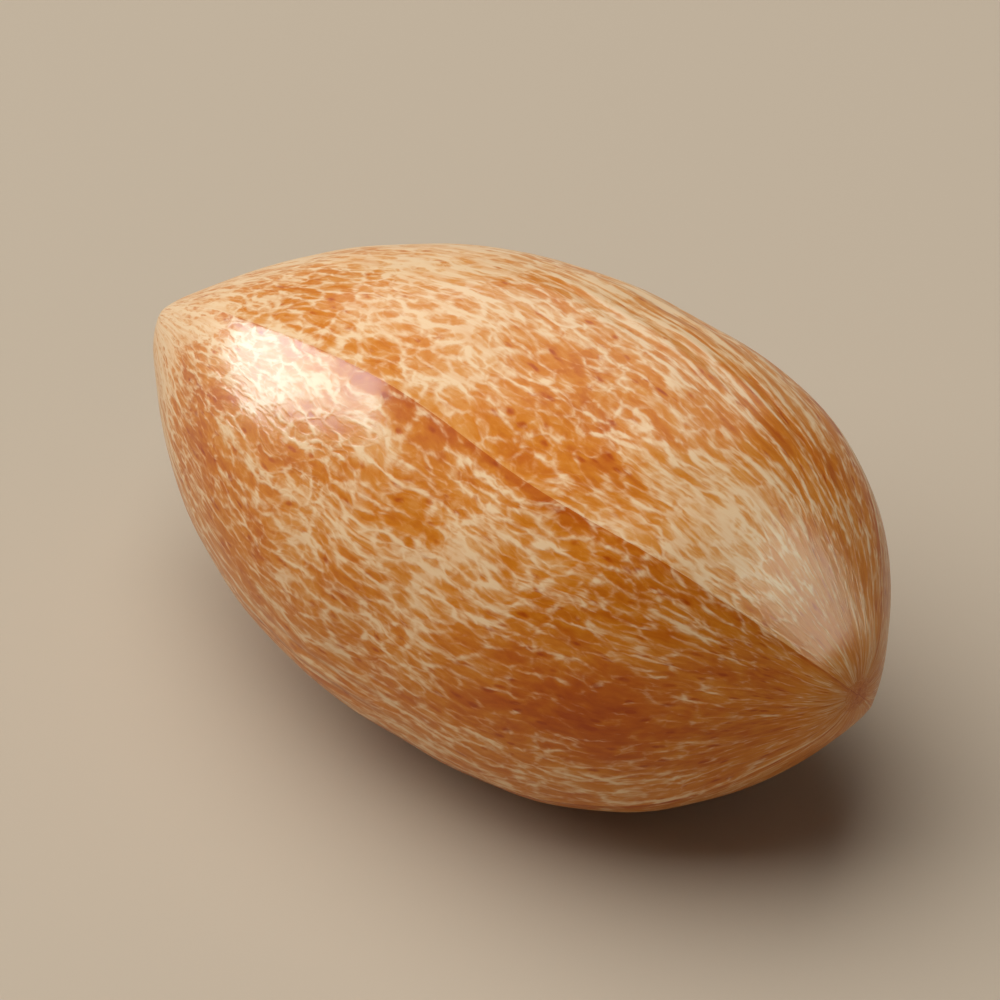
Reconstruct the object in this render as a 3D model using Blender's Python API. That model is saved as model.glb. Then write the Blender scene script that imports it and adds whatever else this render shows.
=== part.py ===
"""A whole pecan in its shell, lying on its side.

The nut grew as one closed shell, so it is one solid. It is a UV sphere whose vertices are moved by a formula:
an ovoid drawn out to a short beak at the tip and blunter at the stem end, with four lengthwise ridges that are
sharp near the ends, fade over the belly and twist a little on the way. It rests on a small flat spot.

Frame: metres, +Z up. +X runs along the nut from its tip to its stem end. The origin is on the surface that the
nut lies on, under the middle of its box.
"""

import math

import bmesh
import bpy
from mathutils import Matrix, Vector

# Driving sizes, in metres: the nut's length and the belly's width and thickness.
LENGTH = 0.046
WIDTH = 0.0256
THICKNESS = 0.0246

# The outline. The belly's place is a share of the length, counted from the tip. Fullness says how long the shell
# stays wide on the way from the belly to an end, and sharpness how pointed that end is (0.5 round, 1 a cone).
# The skew moves the belly this far towards the stem end on one side, and towards the tip on the other.
BELLY_FROM_TIP = 0.55
BELLY_SKEW = 0.00095
TIP_FULLNESS, TIP_SHARPNESS = 2.03, 0.84
STEM_FULLNESS, STEM_SHARPNESS = 2.79, 0.70

# The beak at the tip and the scar where the stalk was: how much each thickens the shell at its end, the length of
# its rounding and the length over which it melts away.
BEAK_RADIUS, BEAK_ROUNDING, BEAK_FADE = 0.00042, 0.0003, 0.0020
SCAR_RADIUS, SCAR_ROUNDING, SCAR_FADE = 0.00070, 0.0003, 0.0012

# The ridges, a quarter turn apart. Their heights are shares of the radius, and the two between the seams are lower.
RIDGE_COUNT = 4
RIDGE_AT_BELLY, RIDGE_AT_ENDS = 0.050, 0.130
RIDGE_MEAN = 0.4
CROSS_RIDGE_SHARE = 0.65
RIDGE_ROUNDING = 0.04

# How the nut lies: where its seam is at the tip, how far the ridges have turned by the stem end, which way it is
# lopsided, and how deep it is flattened where it rests, which is under its weight.
SEAM_ANGLE = math.radians(118)
TWIST = math.radians(11)
SKEW_ANGLE = math.radians(43)
FLAT_DEPTH = 0.00012

COLUMNS, ROWS = 72, 44
SHELL_COLOUR = (0.60, 0.29, 0.09, 1.0)
SHELL_ROUGHNESS = 0.38


def end_profile(share, fullness, sharpness):
    """The radius at this share of the way from the belly to an end, as a share of the belly's radius."""
    return (1 - share**fullness) ** sharpness


def nub_radius(depth, radius, rounding, fade):
    """What the nub adds to the radius this far in from its end: a rounded end that then melts into the shell."""
    open_share = 1 - min(depth / rounding, 1.0)
    return radius * math.sqrt(1 - open_share**2) * math.exp(-((depth / fade) ** 2))


def ridge_factor(turn, share):
    """How far the ridges lift or sink the shell at this turn from the seam, sharp at each crest."""
    crest = 1 - math.hypot(math.sin(RIDGE_COUNT / 2 * turn), RIDGE_ROUNDING)
    height = RIDGE_AT_BELLY + (RIDGE_AT_ENDS - RIDGE_AT_BELLY) * share**2
    height *= CROSS_RIDGE_SHARE + (1 - CROSS_RIDGE_SHARE) * math.cos(turn) ** 2
    return 1 + height * (crest - RIDGE_MEAN)


def shell_point(direction):
    """Where the sphere's point in this direction goes on the shell. The nut's length is on X, its middle at zero."""
    turn = math.atan2(direction.z, direction.y)
    angle = turn + SEAM_ANGLE + TWIST * (1 + direction.x) / 2
    share = min(abs(direction.x), 1.0)
    belly = BELLY_FROM_TIP * LENGTH + BELLY_SKEW * math.cos(angle - SKEW_ANGLE)
    if direction.x < 0:
        side = belly
        body = end_profile(share, TIP_FULLNESS, TIP_SHARPNESS)
        nub = nub_radius(side * (1 - share), BEAK_RADIUS, BEAK_ROUNDING, BEAK_FADE)
    else:
        side = LENGTH - belly
        body = end_profile(share, STEM_FULLNESS, STEM_SHARPNESS)
        nub = nub_radius(side * (1 - share), SCAR_RADIUS, SCAR_ROUNDING, SCAR_FADE)
    radius = (WIDTH / 2 * body + nub) * ridge_factor(turn, share)
    x = belly - LENGTH / 2 + side * direction.x
    return Vector((x, radius * math.cos(angle), radius * math.sin(angle) * THICKNESS / WIDTH))


def cut_flat_spot(bm):
    """Takes a thin slice off the lowest point, level, and closes the cut with one flat face."""
    level = min(vertex.co.z for vertex in bm.verts) + FLAT_DEPTH
    everything = bm.verts[:] + bm.edges[:] + bm.faces[:]
    cut = bmesh.ops.bisect_plane(
        bm, geom=everything, plane_co=(0, 0, level), plane_no=(0, 0, 1), clear_inner=True
    )
    rim = [item for item in cut["geom_cut"] if isinstance(item, bmesh.types.BMEdge)]
    bmesh.ops.contextual_create(bm, geom=rim)


def stand_on_origin(bm):
    """Moves the nut so that the origin is under the middle of its box."""
    lows = Vector(min(vertex.co[axis] for vertex in bm.verts) for axis in range(3))
    highs = Vector(max(vertex.co[axis] for vertex in bm.verts) for axis in range(3))
    middle = (lows + highs) / 2
    bmesh.ops.translate(bm, vec=(-middle.x, -middle.y, -lows.z), verts=bm.verts)


def pecan_mesh():
    """The shell as one closed mesh, lying as it rests."""
    bm = bmesh.new()
    poles_on_x = Matrix.Rotation(math.radians(90), 4, "Y")
    bmesh.ops.create_uvsphere(
        bm, u_segments=COLUMNS, v_segments=ROWS, radius=1.0, matrix=poles_on_x
    )
    for vertex in bm.verts:
        vertex.co = shell_point(vertex.co)
    cut_flat_spot(bm)
    stand_on_origin(bm)
    bmesh.ops.recalc_face_normals(bm, faces=bm.faces)
    mesh = bpy.data.meshes.new("pecan")
    bm.to_mesh(mesh)
    bm.free()
    mesh.shade_smooth()
    return mesh


def shell_material():
    """Polished tan shell."""
    material = bpy.data.materials.new("pecan_shell")
    material.use_nodes = True
    shader = material.node_tree.nodes["Principled BSDF"]
    shader.inputs["Base Color"].default_value = SHELL_COLOUR
    shader.inputs["Roughness"].default_value = SHELL_ROUGHNESS
    shader.inputs["Metallic"].default_value = 0.0
    return material


def main():
    for old in list(bpy.data.objects):
        bpy.data.objects.remove(old)
    collection = bpy.data.collections.new("pecan_in_shell")
    bpy.context.scene.collection.children.link(collection)
    pecan = bpy.data.objects.new("pecan", pecan_mesh())
    pecan.data.materials.append(shell_material())
    collection.objects.link(pecan)


main()
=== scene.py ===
"""The looks of a whole pecan in its closed shell, finely modelled, on a pale floor in soft light.

The shell follows the same formula as the solid that it stands for, on a much finer grid, with the slow
swells, lumps and furrows of low relief that a real shell has. Its finish is a net of pale fibres over an
amber ground, under wax. Metres, +Z up, +X from the nut's tip to its stem end.
"""

import math

import bpy
import numpy as np
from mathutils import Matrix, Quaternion, Vector


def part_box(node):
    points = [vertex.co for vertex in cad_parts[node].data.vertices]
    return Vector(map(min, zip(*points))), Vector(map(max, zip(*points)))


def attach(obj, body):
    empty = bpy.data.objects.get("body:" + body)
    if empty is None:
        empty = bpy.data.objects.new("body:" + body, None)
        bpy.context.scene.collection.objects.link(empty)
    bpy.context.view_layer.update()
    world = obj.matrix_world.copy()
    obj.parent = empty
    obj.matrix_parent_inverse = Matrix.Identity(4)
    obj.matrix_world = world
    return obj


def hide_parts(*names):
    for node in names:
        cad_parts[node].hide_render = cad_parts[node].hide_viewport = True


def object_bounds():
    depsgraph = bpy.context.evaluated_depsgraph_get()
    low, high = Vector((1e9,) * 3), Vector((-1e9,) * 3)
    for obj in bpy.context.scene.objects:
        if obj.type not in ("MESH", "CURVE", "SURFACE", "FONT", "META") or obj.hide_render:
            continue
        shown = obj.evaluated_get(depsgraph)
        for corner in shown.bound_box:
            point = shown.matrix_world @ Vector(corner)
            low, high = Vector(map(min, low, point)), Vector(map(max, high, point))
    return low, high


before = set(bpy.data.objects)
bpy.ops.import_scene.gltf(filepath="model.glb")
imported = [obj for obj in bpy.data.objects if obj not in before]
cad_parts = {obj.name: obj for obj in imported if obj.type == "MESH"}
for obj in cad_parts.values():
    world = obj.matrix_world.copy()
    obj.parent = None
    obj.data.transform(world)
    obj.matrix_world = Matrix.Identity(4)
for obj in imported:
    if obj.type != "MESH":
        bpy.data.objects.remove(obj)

CAD_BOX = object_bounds()
MM = 0.001

# The form, as in the solid: sizes in metres, shares of the length or the radius, and angles round the nut.
LENGTH, WIDTH, THICKNESS = 0.046, 0.0256, 0.0246
BELLY_FROM_TIP, BELLY_SKEW = 0.55, 0.00095
TIP_FULLNESS, TIP_SHARPNESS = 2.03, 0.84
STEM_FULLNESS, STEM_SHARPNESS = 2.79, 0.70
BEAK_RADIUS, BEAK_ROUNDING, BEAK_FADE = 0.00042, 0.0003, 0.0020
SCAR_RADIUS, SCAR_ROUNDING, SCAR_FADE = 0.00070, 0.0003, 0.0012
RIDGE_COUNT = 4
RIDGE_AT_BELLY, RIDGE_AT_ENDS = 0.050, 0.130
RIDGE_MEAN = 0.4
CROSS_RIDGE_SHARE = 0.65
RIDGE_ROUNDING = 0.02
SEAM_ANGLE, TWIST, SKEW_ANGLE = math.radians(118), math.radians(11), math.radians(43)

# The low relief, as heights in mm with unit spread: slow swells, lumps and lengthwise furrows. A trace of
# the furrows runs everywhere. All of it keeps its height where the radius is at least this large, and sinks
# towards the ends. The crests wander by this angle, in radians.
SWELL_HEIGHT, LUMP_HEIGHT, FURROW_HEIGHT = 0.06, 0.022, 0.018
FURROW_TRACE = 0.15
FULL_RELIEF_RADIUS = 0.010
CREST_WANDER = 0.010

# The grid: columns run from end to end and crowd near the ridges, rings crowd near the ends. The sleeve is
# the radius, in mm, of the tube on which the finish is laid out.
COLUMNS, RINGS = 440, 225
CROWDING_AT_RIDGES, CROWDING_AT_ENDS = 0.35, 0.6
SLEEVE = WIDTH / 2 / MM

# Where the pale fibres lie thick, above zero, or thin: the place in mm from the middle towards the stem end
# and in degrees round from the seam, the patch's length and width in mm, and by how much. Some are painted
# light and shade: paler over the top where a sheen would lie and under the two highlights, darker on the
# shaded lower side, under the ridge near the stem end, at the stem end's top edge and on the left flank.
PATCHES_AND_PAINTED_LIGHT = (
    (-3.0, -22, 9, 6, 0.36),
    (-8.0, -50, 13, 9, 0.60),
    (16.0, -28, 7.5, 5, 0.62),
    (-2.5, 24, 8, 4.6, -0.44),
    (4.5, 22, 5, 3.0, -0.16),
    (10.0, -19, 5, 3.0, -0.36),
    (-8.0, 55, 9, 7, -0.34),
    (11.0, 6, 2.5, 1.6, 0.20),
    (15.5, 48, 10, 6.5, -0.80),
    (9.0, 58, 9, 5, -0.50),
    (-11.5, 27, 2.5, 2.0, -0.20),
    (-12.0, 12, 8, 4.5, 0.30),
    (17.5, 12, 6, 3, -0.26),
    (19.0, -75, 6, 5, -0.30),
    (1.0, -36, 8, 5.5, 0.26),
    (-13.0, 42, 8, 7, -0.24),
    (4.0, -60, 16, 9, 0.24),
    (-2.0, 150, 9, 6, -0.30),
    (8.0, 196, 7, 5, 0.26),
    (2.0, 250, 8, 6, -0.28),
    (-9.0, 226, 6, 4, 0.20),
    (4.0, 108, 7, 5, 0.20),
)

# Where the shell is furrowed lengthwise, written in the same way.
FURROWED = (
    (8.0, -62, 17, 7, 1.0),
    (-2.0, 78, 12, 5, 0.7),
    (4.0, 170, 14, 6, 0.9),
    (-6.0, 262, 12, 6, 0.8),
)

# The tones, from dark to pale, each at its place from 0 to 1. The ground runs from brown-orange to amber to
# a paler tan. A thin layer of fibres is tan, and a thick one pale.
GROUND_TONES = ((0.0, "#a84400"), (0.26, "#bc5c06"), (0.55, "#d07c1a"), (1.0, "#e2aa60"))
FIBRE_TONES = ((0.0, "#d88c3c"), (1.0, "#efd0aa"))

# The wax and the shell under it. A weak, warm gloss of the fibres' own lies under a thin coat of wax.
FINISH = {
    "Roughness": 0.45,
    "IOR": 1.50,
    "Specular IOR Level": 0.15,
    "Specular Tint": "#f4c896",
    "Coat Weight": 0.50,
    "Coat Roughness": 0.17,
    "Coat Tint": "#fffaf0",
}
FIBRE_THICKNESS = 0.01 * MM

# The photograph's view of the nut, and the width that the picture spans at the nut.
CAMERA_AZIMUTH, CAMERA_ELEVATION = math.radians(41.3), math.radians(38.0)
CAMERA_DISTANCE, FRAME_WIDTH = 0.38, 0.0498
SENSOR_WIDTH = 36.0

# The lights. Each has a name, its azimuth past the camera's and its elevation, its distance from the nut,
# its width and height, how far its top leans over, its power in watts and its tone. Angles are in degrees
# and sizes in metres.
TOP_SOFT_BOX = ("top_soft_box", -104, 66, 0.80, (1.10, 1.10), 0, 10.4, "#fffcf6")
GLOSS_CARDS = (
    ("left_gloss_card", -116, 18, 0.50, (0.24, 0.38), 28, 3.7, "#d4f0fa"),
    ("right_gloss_card", 80, 25, 0.60, (0.42, 0.30), 0, 2.1, "#e0faf4"),
    ("wide_gloss_card", 78, 27, 0.70, (0.86, 0.60), 0, 2.4, "#e0faf4"),
    ("back_gloss_card", 175, 42, 0.80, (0.90, 0.80), 0, 2.8, "#eef6ff"),
)
SKY_TONE, SKY_STRENGTH = "#f4f1ec", 0.08
FLOOR_TONE, FLOOR_SIDE = "#c0b3a2", 3.0


def linear(hex_colour):
    """An sRGB hex colour as the linear RGBA that shaders take."""
    shares = [int(hex_colour[i : i + 2], 16) / 255 for i in (1, 3, 5)]
    return [s / 12.92 if s <= 0.04045 else ((s + 0.055) / 1.055) ** 2.4 for s in shares] + [1.0]


def ripple(around, along, turns, wavelength, count, seed):
    """A sum of cosine waves with unit spread, each with whole turns round the nut, so that it closes."""
    draw = np.random.default_rng(seed)
    k = draw.integers(turns[0], turns[1] + 1, count)
    q = draw.choice((-1, 1), count) * 2 * np.pi / draw.uniform(*wavelength, count)
    phase = draw.uniform(0, 2 * np.pi, count)
    return np.cos(around[..., None] * k + along[..., None] * q + phase).sum(-1) / math.sqrt(count / 2)


def nub(depth, radius, rounding, fade):
    """What an end's nub adds to the radius: a rounded end that melts into the shell further in."""
    open_share = 1 - np.minimum(depth / rounding, 1)
    return radius * np.sqrt(1 - open_share**2) * np.exp(-((depth / fade) ** 2))


def smooth_shell(turn, direction):
    """The shell without relief, as the part has it. turn is the angle from the seam and direction runs
    -1 to 1 from tip to stem end. The radius is (1 - share**fullness)**sharpness on each side of the
    belly, with the nubs added, times 1 + height * (1 - |sin(2 turn)| - mean) for four crests, whose
    height grows with the share squared."""
    angle = turn + SEAM_ANGLE + TWIST * (1 + direction) / 2
    share = np.abs(direction)
    belly = BELLY_FROM_TIP * LENGTH + BELLY_SKEW * np.cos(angle - SKEW_ANGLE)
    to_tip = direction < 0
    side = np.where(to_tip, belly, LENGTH - belly)
    fullness = np.where(to_tip, TIP_FULLNESS, STEM_FULLNESS)
    sharpness = np.where(to_tip, TIP_SHARPNESS, STEM_SHARPNESS)
    depth = side * (1 - share)
    nubs = np.where(
        to_tip,
        nub(depth, BEAK_RADIUS, BEAK_ROUNDING, BEAK_FADE),
        nub(depth, SCAR_RADIUS, SCAR_ROUNDING, SCAR_FADE),
    )
    crest = 1 - np.hypot(np.sin(RIDGE_COUNT / 2 * turn), RIDGE_ROUNDING)
    height = RIDGE_AT_BELLY + (RIDGE_AT_ENDS - RIDGE_AT_BELLY) * share**2
    height = height * (CROSS_RIDGE_SHARE + (1 - CROSS_RIDGE_SHARE) * np.cos(turn) ** 2)
    radius = (WIDTH / 2 * (1 - share**fullness) ** sharpness + nubs) * (1 + height * (crest - RIDGE_MEAN))
    return belly - LENGTH / 2 + side * direction, radius, angle


def bells(patches, turn, along, radius):
    """A sum of bells, one for each patch: strength * exp(-4 (along/length)**2 - 4 (around/width)**2)."""
    total = np.zeros_like(along)
    for middle, degrees, length, width, strength in patches:
        apart = (turn - math.radians(degrees) + np.pi) % (2 * np.pi) - np.pi
        along_share = (along / MM - middle) / length
        around_share = apart * radius / MM / width
        total += strength * np.exp(-4 * (along_share**2 + around_share**2))
    return total


def relief(turn, along, radius):
    """How far the surface stands out or in, in metres, and how furrowed it is: slow swells, lumps, and
    lengthwise furrows in places, each a sum of waves, in proportion to the radius near the ends."""
    swells = ripple(turn, along, (1, 4), (16 * MM, 40 * MM), 10, seed=3)
    lumps = ripple(turn, along, (4, 11), (5 * MM, 11 * MM), 18, seed=5)
    furrows = ripple(turn, along, (36, 58), (20 * MM, 70 * MM), 26, seed=8)
    furrowed = bells(FURROWED, turn, along, radius)
    height = SWELL_HEIGHT * swells + LUMP_HEIGHT * lumps
    height = height + FURROW_HEIGHT * furrows * (FURROW_TRACE + furrowed)
    return height * MM * np.minimum(radius / FULL_RELIEF_RADIUS, 1), furrowed


def grid_places():
    """The turn and the direction of every point of the grid, ring by ring.

    turn(u) = u - c sin(4u)/4 crowds the columns at the crests. direction(t) mixes an even run with
    -cos(pi t), which crowds the rings at the ends."""
    u = 2 * np.pi * np.arange(COLUMNS) / COLUMNS
    turn = u - CROWDING_AT_RIDGES * np.sin(RIDGE_COUNT * u) / RIDGE_COUNT
    t = np.arange(1, RINGS + 1) / (RINGS + 1)
    direction = (1 - CROWDING_AT_ENDS) * (2 * t - 1) - CROWDING_AT_ENDS * np.cos(np.pi * t)
    return np.meshgrid(turn, direction)


def fibre_places(points, turn, direction):
    """Where each point lies among the fibres, in mm: its run along the shell from the belly, and its
    place round a sleeve as wide as the nut."""
    steps = np.linalg.norm(np.diff(points, axis=0), axis=-1)
    run = np.vstack([np.zeros(COLUMNS), np.cumsum(steps, axis=0)])
    run = (run - run[np.abs(direction[:, 0]).argmin()]) / MM
    return np.stack([run, SLEEVE * np.cos(turn), SLEEVE * np.sin(turn)], -1)


def shell_grid():
    """The shell's points and what its finish reads, ring by ring, with one point for each pole.

    The smooth shell is moved so that its box meets the solid's. A slow wave is added to the angle, so
    the crests wander as real ones do, and the relief is added to the radius. No point goes below the
    floor."""
    turn, direction = grid_places()
    x, radius, angle = smooth_shell(turn, direction)
    lows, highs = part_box("pecan")
    smooth_y = radius * np.cos(angle)
    smooth_z = radius * np.sin(angle) * THICKNESS / WIDTH
    shift_y = (lows.y + highs.y) / 2 - (smooth_y.min() + smooth_y.max()) / 2
    shift_z = highs.z - smooth_z.max()
    angle = angle + CREST_WANDER * ripple(turn, x, (0, 2), (16 * MM, 40 * MM), 6, seed=2)
    height, furrowed = relief(turn, x, radius)
    radius = radius + height
    y = radius * np.cos(angle) + shift_y
    z = radius * np.sin(angle) * THICKNESS / WIDTH + shift_z
    points = np.stack([x, y, z], -1)
    fibre = fibre_places(points, turn, direction)
    # Patches of thick and thin fibres, some of which are painted light and shade.
    patches = bells(PATCHES_AND_PAINTED_LIGHT, turn, x, radius)
    quarter = 2 * np.pi / RIDGE_COUNT
    from_ridge = (turn - quarter * np.round(turn / quarter)) * SLEEVE
    poles = [[-LENGTH / 2, shift_y, shift_z], [LENGTH / 2, shift_y, shift_z]]
    fibre_poles = [[fibre[0, :, 0].mean(), 0, 0], [fibre[-1, :, 0].mean(), 0, 0]]
    points = np.vstack([points.reshape(-1, 3), poles])
    points[:, 2] = np.maximum(points[:, 2], lows.z)
    fibre = np.vstack([fibre.reshape(-1, 3), fibre_poles])
    marks = {
        "tip_to_stem": np.append(direction, [-1, 1]),
        "thick_or_thin_and_painted_light": np.append(patches, [0, 0]),
        "from_ridge_mm": np.append(from_ridge, [0, 0]),
        "furrowed": np.append(furrowed, [0, 0]),
    }
    return points, fibre, marks


def shell_faces():
    """Quads between rings and a fan of triangles at each pole, all facing outwards."""
    first = np.arange(COLUMNS)
    following = (first + 1) % COLUMNS
    ring = np.arange(RINGS - 1)[:, None] * COLUMNS
    quads = np.stack(
        [ring + first, ring + following, ring + COLUMNS + following, ring + COLUMNS + first], -1
    ).reshape(-1, 4)
    last = (RINGS - 1) * COLUMNS
    tip, stem = RINGS * COLUMNS, RINGS * COLUMNS + 1
    tip_fan = np.stack([following, first, np.full(COLUMNS, tip)], -1)
    stem_fan = np.stack([last + first, last + following, np.full(COLUMNS, stem)], -1)
    return quads.tolist() + tip_fan.tolist() + stem_fan.tolist()


def pecan_shell(material):
    """The closed shell, in place of the plain solid."""
    points, fibre, marks = shell_grid()
    mesh = bpy.data.meshes.new("pecan_shell")
    mesh.from_pydata(points.tolist(), [], shell_faces())
    mesh.attributes.new("fibre_mm", "FLOAT_VECTOR", "POINT").data.foreach_set("vector", fibre.ravel())
    for name, values in marks.items():
        mesh.attributes.new(name, "FLOAT", "POINT").data.foreach_set("value", values)
    mesh.shade_smooth()
    mesh.materials.append(material)
    shell = bpy.data.objects.new("pecan_shell", mesh)
    bpy.context.scene.collection.objects.link(shell)
    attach(shell, "root")
    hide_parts("pecan")
    return shell


def add(tree, kind, inputs=None, **settings):
    """Adds one node: its settings, and for each input a value or the output that feeds it."""
    made = tree.nodes.new(kind)
    for name, value in settings.items():
        setattr(made, name, value)
    for name, value in (inputs or {}).items():
        if isinstance(value, bpy.types.NodeSocket):
            tree.links.new(value, made.inputs[name])
        else:
            made.inputs[name].default_value = value
    return made


def maths(tree, operation, *values):
    """The result of one math node."""
    return add(tree, "ShaderNodeMath", dict(enumerate(values)), operation=operation).outputs[0]


def weighted(tree, parts):
    """The sum of these values, each times its strength."""
    (value, strength), *others = parts
    added = maths(tree, "MULTIPLY", value, strength)
    for value, strength in others:
        added = maths(tree, "MULTIPLY_ADD", value, strength, added)
    return added


def graded(tree, value, source, target, smooth=True):
    """A value taken from the source range to the target range and held there, softly when smooth."""
    limits = {"From Min": source[0], "From Max": source[1], "To Min": target[0], "To Max": target[1]}
    interpolation = "SMOOTHSTEP" if smooth else "LINEAR"
    made = add(tree, "ShaderNodeMapRange", {"Value": value, **limits}, interpolation_type=interpolation)
    return made.outputs[0]


def toned(tree, value, tones):
    """The colour of these tones at this value. The first tone is at 0 and the last at 1."""
    ramp = add(tree, "ShaderNodeValToRGB", {"Fac": value})
    stops = ramp.color_ramp.elements
    for place, tone in tones[1:-1]:
        stops.new(place).color = linear(tone)
    stops[0].color, stops[-1].color = linear(tones[0][1]), linear(tones[-1][1])
    return ramp.outputs["Color"]


def attribute(tree, name, output="Fac"):
    """What the mesh stores under this name."""
    return add(tree, "ShaderNodeAttribute", attribute_name=name).outputs[output]


def noise(tree, places, scale, detail, roughness=0.5, output="Fac"):
    """Soft noise, with this many cells to a mm."""
    inputs = {"Vector": places, "Scale": scale, "Detail": detail, "Roughness": roughness}
    return add(tree, "ShaderNodeTexNoise", inputs).outputs[output]


def cells(tree, places, scale, feature):
    """The distance to the nearest cell's middle or edge, with this many cells to a mm."""
    inputs = {"Vector": places, "Scale": scale}
    return add(tree, "ShaderNodeTexVoronoi", inputs, feature=feature).outputs["Distance"]


def wandering(tree, places, fibre, scale, detail, reach):
    """The places pushed about by noise along the fibres, by up to this reach in mm."""
    push = noise(tree, fibre, scale, detail, output="Color")
    inputs = {0: push, 1: reach, 2: places}
    return add(tree, "ShaderNodeVectorMath", inputs, operation="MULTIPLY_ADD").outputs["Vector"]


def drawn(tree, places, share):
    """The places with their run along the nut shortened, which draws what reads them out."""
    return add(tree, "ShaderNodeMapping", {"Vector": places, "Scale": (share, 1, 1)}).outputs["Vector"]


def crest_wear_and_painted_light(tree, from_ridge):
    """A pale line on each crest, partly wear and partly a painted highlight, and painted shade beside it.
    """
    rubbed_and_highlit = graded(tree, from_ridge, (-0.7, -0.1), (0.0, 0.20), smooth=False)
    painted_shade_line = graded(tree, from_ridge, (0.1, 1.3), (-0.30, 0.0), smooth=False)
    past_crest = maths(tree, "GREATER_THAN", from_ridge, 0.0)
    return add(tree, "ShaderNodeMix", {0: past_crest, 2: rubbed_and_highlit, 3: painted_shade_line}, data_type="FLOAT").outputs[0]


def waxed_shell():
    """Pecan shell, tumbled smooth and waxed: a satin gloss over a net of pale fibres on an amber ground."""
    material = bpy.data.materials.new("waxed_pecan_shell")
    material.use_nodes = True
    tree = material.node_tree
    shader = tree.nodes["Principled BSDF"]

    fibre = attribute(tree, "fibre_mm", "Vector")
    tip_to_stem = attribute(tree, "tip_to_stem")
    patches = attribute(tree, "thick_or_thin_and_painted_light")
    from_ridge = attribute(tree, "from_ridge_mm")
    furrowed = attribute(tree, "furrowed")

    # The fibres wander, in a slow drift over about 6 mm and a waver over about 1 mm, and are drawn out.
    drift = wandering(tree, fibre, fibre, 0.16, 1.0, (2.5, 1.8, 1.8))
    waver = wandering(tree, drift, fibre, 0.9, 2.0, (0.6, 0.42, 0.42))
    drawn_out = drawn(tree, waver, 0.44)

    # Thick and thin stretches some 8 mm across, blotches about 2 mm wide, a ragged felt of half a mm, and
    # threads about half a mm wide and ten times as long.
    stretches = noise(tree, drift, 0.13, 2.0)
    blotches = noise(tree, drawn_out, 0.55, 3.0, 0.55)
    felt = noise(tree, drawn_out, 2.2, 4.0, 0.6)
    threads = noise(tree, drawn(tree, drift, 0.09), 2.0, 3.0)

    # Two nets of thin lines, with meshes about 0.9 mm and 0.5 mm wide. Where the shell is furrowed they
    # fade, and the threads show as streaks.
    wide_net = graded(tree, cells(tree, drawn_out, 1.15, "DISTANCE_TO_EDGE"), (0.0, 0.20), (1.0, 0.0))
    fine_net = graded(tree, cells(tree, drawn_out, 2.1, "DISTANCE_TO_EDGE"), (0.0, 0.18), (1.0, 0.0))
    nets = weighted(tree, ((fine_net, 0.22), (wide_net, 0.42)))
    nets = maths(tree, "MULTIPLY", nets, maths(tree, "MULTIPLY_ADD", furrowed, -0.7, 1.0))
    streaks = maths(tree, "MULTIPLY", maths(tree, "MULTIPLY_ADD", threads, 3.0, -1.46), furrowed)

    # The fibres cover the tip and lie thinner at the stem end. The scar and the beak's point are dark.
    pale_tip = graded(tree, tip_to_stem, (-0.97, -0.50), (0.45, 0.0))
    bare_stem = graded(tree, tip_to_stem, (0.70, 0.97), (0.0, -0.22))
    scar = graded(tree, maths(tree, "ABSOLUTE", tip_to_stem), (0.996, 0.9995), (0.0, -0.4), smooth=False)
    # The crests: a pale line that is partly a painted highlight, and a darker line of painted shade beside
    # it.
    crest = crest_wear_and_painted_light(tree, from_ridge)

    # Dark flecks about 0.3 mm across.
    flecks = graded(tree, cells(tree, drawn_out, 1.5, "F1"), (0.05, 0.30), (-0.5, 0.0))

    # The ground follows the patches and the crest marks, and with them their painted light and shade.
    ground = weighted(tree, (
        (patches, 0.5),
        (crest, 1.0),
        (scar, 1.0),
        (flecks, 0.9),
        (streaks, 0.5),
        (stretches, 0.6),
        (blotches, 0.9),
        (felt, 0.7),
    ))
    ground = toned(tree, graded(tree, ground, (0.38, 1.55), (0.0, 1.0), smooth=False), GROUND_TONES)

    # How thick the fibres lie: in nets and threads where the blotches are pale, broken up by the felt. The
    # patches and the crest marks bring their painted light and shade into it too.
    cover = weighted(tree, (
        (pale_tip, 1.0),
        (patches, 0.6),
        (bare_stem, 1.0),
        (crest, 0.6),
        (scar, 1.0),
        (stretches, 0.8),
        (blotches, 1.1),
        (nets, 1.0),
        (streaks, 1.0),
        (threads, 0.6),
        (felt, 1.2),
    ))
    cover = graded(tree, cover, (1.69, 2.65), (0.0, 0.98))
    fibres = maths(tree, "MULTIPLY_ADD", cover, 0.75, maths(tree, "MULTIPLY_ADD", threads, 2.2, -0.95))
    fibres = toned(tree, fibres, FIBRE_TONES)
    colour = add(tree, "ShaderNodeMix", {0: cover, 6: ground, 7: fibres}, data_type="RGBA")
    tree.links.new(colour.outputs[2], shader.inputs["Base Color"])

    # The fibres stand out a little, which breaks the gloss up.
    bump = add(tree, "ShaderNodeBump", {"Height": cover, "Strength": 1.0, "Distance": FIBRE_THICKNESS})
    tree.links.new(bump.outputs["Normal"], shader.inputs["Normal"])
    tree.links.new(bump.outputs["Normal"], shader.inputs["Coat Normal"])
    for name, value in FINISH.items():
        shader.inputs[name].default_value = linear(value) if isinstance(value, str) else value
    return material


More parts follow.
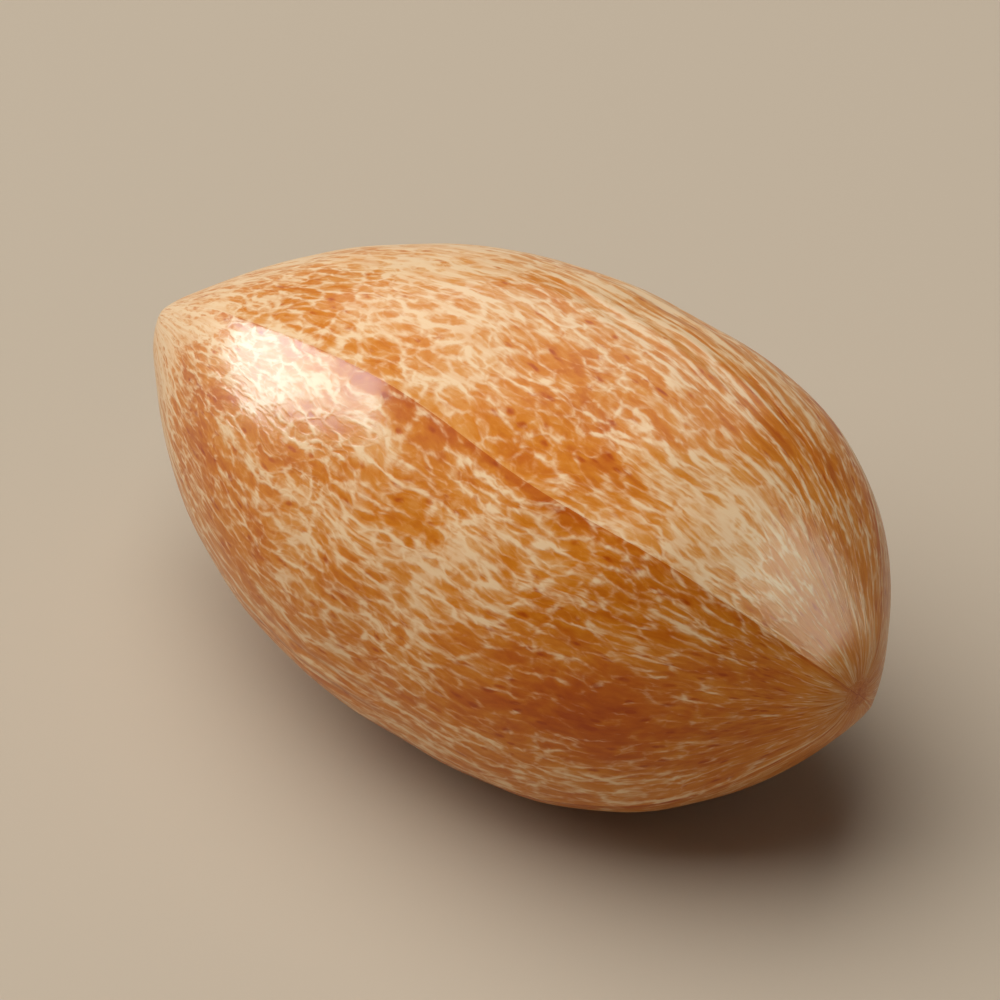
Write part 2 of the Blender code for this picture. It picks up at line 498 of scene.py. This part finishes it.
def pale_floor():
    """Matt painted board: an even, warm off-white that takes a soft shadow and has no gloss."""
    material = bpy.data.materials.new("matt_painted_board")
    material.use_nodes = True
    shader = material.node_tree.nodes["Principled BSDF"]
    shader.inputs["Base Color"].default_value = linear(FLOOR_TONE)
    shader.inputs["Roughness"].default_value = 1.0
    shader.inputs["Specular IOR Level"].default_value = 0.0
    half = FLOOR_SIDE / 2
    corners = [(-half, -half, 0), (half, -half, 0), (half, half, 0), (-half, half, 0)]
    mesh = bpy.data.meshes.new("floor")
    mesh.from_pydata(corners, [], [(0, 1, 2, 3)])
    mesh.materials.append(material)
    floor = bpy.data.objects.new("floor", mesh)
    bpy.context.scene.collection.objects.link(floor)


def towards(azimuth, elevation):
    """The unit vector to something seen at this azimuth and elevation. Azimuth 0 is on the -Y side."""
    flat = math.cos(elevation)
    return Vector((math.sin(azimuth) * flat, -math.cos(azimuth) * flat, math.sin(elevation)))


def soft_box(middle, name, from_camera, elevation, distance, size, lean, power, tone):
    """A soft rectangular light turned to the nut, described as in the lists of lights above."""
    light = bpy.data.lights.new(name, "AREA")
    light.shape = "RECTANGLE"
    light.size, light.size_y = size
    light.energy = power
    light.color = linear(tone)[:3]
    lamp = bpy.data.objects.new(name, light)
    back = towards(CAMERA_AZIMUTH + math.radians(from_camera), math.radians(elevation))
    lamp.location = middle + back * distance
    turned = back.to_track_quat("Z", "Y") @ Quaternion((0, 0, 1), -math.radians(lean))
    lamp.rotation_euler = turned.to_euler()
    lamp.visible_camera = False
    bpy.context.scene.collection.objects.link(lamp)
    return lamp


def studio(middle):
    """The lights: one broad soft box overhead that lights the nut without a mirror image, four cards
    that only the gloss mirrors, and an even sky."""
    soft_box(middle, *TOP_SOFT_BOX).visible_glossy = False
    for card in GLOSS_CARDS:
        soft_box(middle, *card).visible_diffuse = False
    world = bpy.data.worlds.new("studio_sky")
    world.use_nodes = True
    sky = world.node_tree.nodes["Background"]
    sky.inputs["Color"].default_value = linear(SKY_TONE)
    sky.inputs["Strength"].default_value = SKY_STRENGTH
    bpy.context.scene.world = world
    bpy.context.scene.view_settings.view_transform = "Standard"


def camera(middle):
    """The photograph's view of the nut, from a little above and turned to its side."""
    lens = bpy.data.cameras.new("camera")
    lens.sensor_width = SENSOR_WIDTH
    lens.lens = SENSOR_WIDTH * CAMERA_DISTANCE / FRAME_WIDTH
    lens.clip_start, lens.clip_end = 0.01, 20
    eye = bpy.data.objects.new("camera", lens)
    back = towards(CAMERA_AZIMUTH, CAMERA_ELEVATION)
    eye.location = middle + back * CAMERA_DISTANCE
    eye.rotation_euler = back.to_track_quat("Z", "Y").to_euler()
    bpy.context.scene.collection.objects.link(eye)
    bpy.context.scene.camera = eye


pecan_shell(waxed_shell())
pale_floor()
middle = (CAD_BOX[0] + CAD_BOX[1]) / 2
studio(middle)
camera(middle)
